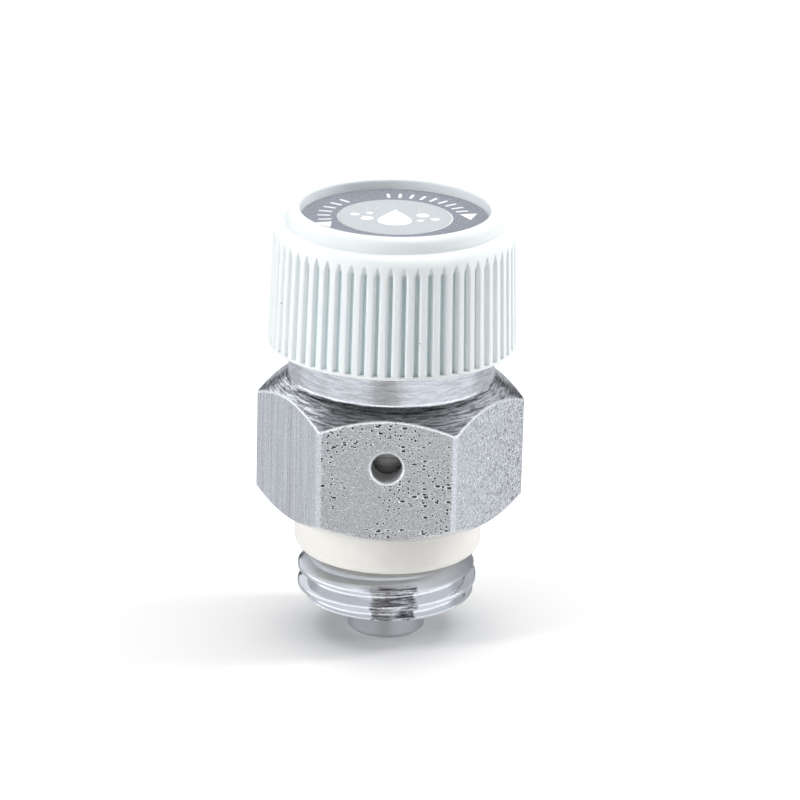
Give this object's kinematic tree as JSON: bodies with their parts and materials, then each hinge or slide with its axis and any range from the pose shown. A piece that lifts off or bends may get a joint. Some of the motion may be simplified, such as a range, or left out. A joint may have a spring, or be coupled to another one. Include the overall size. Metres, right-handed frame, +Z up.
{
  "type": "automatic air vent",
  "caption": "Radiator air vent with a chromed hexagon body, white fluted hand knob, side vent hole, white sealing ring and short pipe thread.",
  "frame": {"origin": "on the axis, at the underside of the sealing ring, where the vent seats on the radiator's boss", "axes": "+Z up the axis towards the knob; -Y out of the vent hole in the front flat; +X to the right of the front flat"},
  "size_m": [0.0194, 0.0182, 0.0324],
  "materials": {
    "chrome": "bright chrome plate on brass, fine turning lines and small pits",
    "white_plastic": "cool white, satin moulded",
    "ring_nylon": "warm off-white, matt",
    "label": "grey printed disc with white marks, satin",
    "brass": "turned",
    "spring_steel": "drawn wire and thin strip",
    "screw_steel": "zinc plated",
    "acetal": "natural white",
    "seal_rubber": "black, matt",
    "swelling_fibre": "reddish brown pressed fibre"
  },
  "bodies": {
    "valve_body": {"body": "chrome", "sealing_ring": "ring_nylon", "inlet_nozzle": "chrome", "check_spring": "spring_steel"},
    "check_valve": {"check_poppet": "acetal", "poppet_o_ring": "seal_rubber"},
    "cartridge": {"cartridge_core": "brass", "fibre_disc_1": "swelling_fibre", "fibre_disc_2": "swelling_fibre", "fibre_disc_3": "swelling_fibre", "fibre_disc_4": "swelling_fibre", "fibre_disc_5": "swelling_fibre", "fibre_disc_6": "swelling_fibre", "fibre_disc_7": "swelling_fibre", "fibre_disc_8": "swelling_fibre", "pressure_plate": "brass", "stack_spring": "spring_steel", "star_retainer": "spring_steel", "seat_washer": "seal_rubber", "cartridge_clip": "spring_steel"},
    "knob": {"spindle": "brass", "spindle_o_ring": "seal_rubber", "knob": "white_plastic", "label_disc": "label", "knob_screw": "screw_steel", "screw_washer": "screw_steel"}
  },
  "joints": [
    {"name": "knob_lift", "type": "slide", "parent": "valve_body", "child": "cartridge", "axis": [0, 0, 1], "range_m": [0, 0.001]},
    {"name": "knob_turn", "type": "hinge", "parent": "cartridge", "child": "knob", "pos_m": [0, 0, 0.0212], "axis": [0, 0, 1], "range_deg": [0, 360]},
    {"name": "check_travel", "type": "slide", "parent": "valve_body", "child": "check_valve", "axis": [0, 0, 1], "range_m": [0, 0.001], "deforming": ["check_spring"]}
  ],
  "couplings": [
    {"joint": "knob_lift", "follows": "knob_turn", "m_per_rad": 0.00015915},
    {"joint": "check_travel", "follows": "knob_turn", "m_per_rad": 0.00015915}
  ]
}
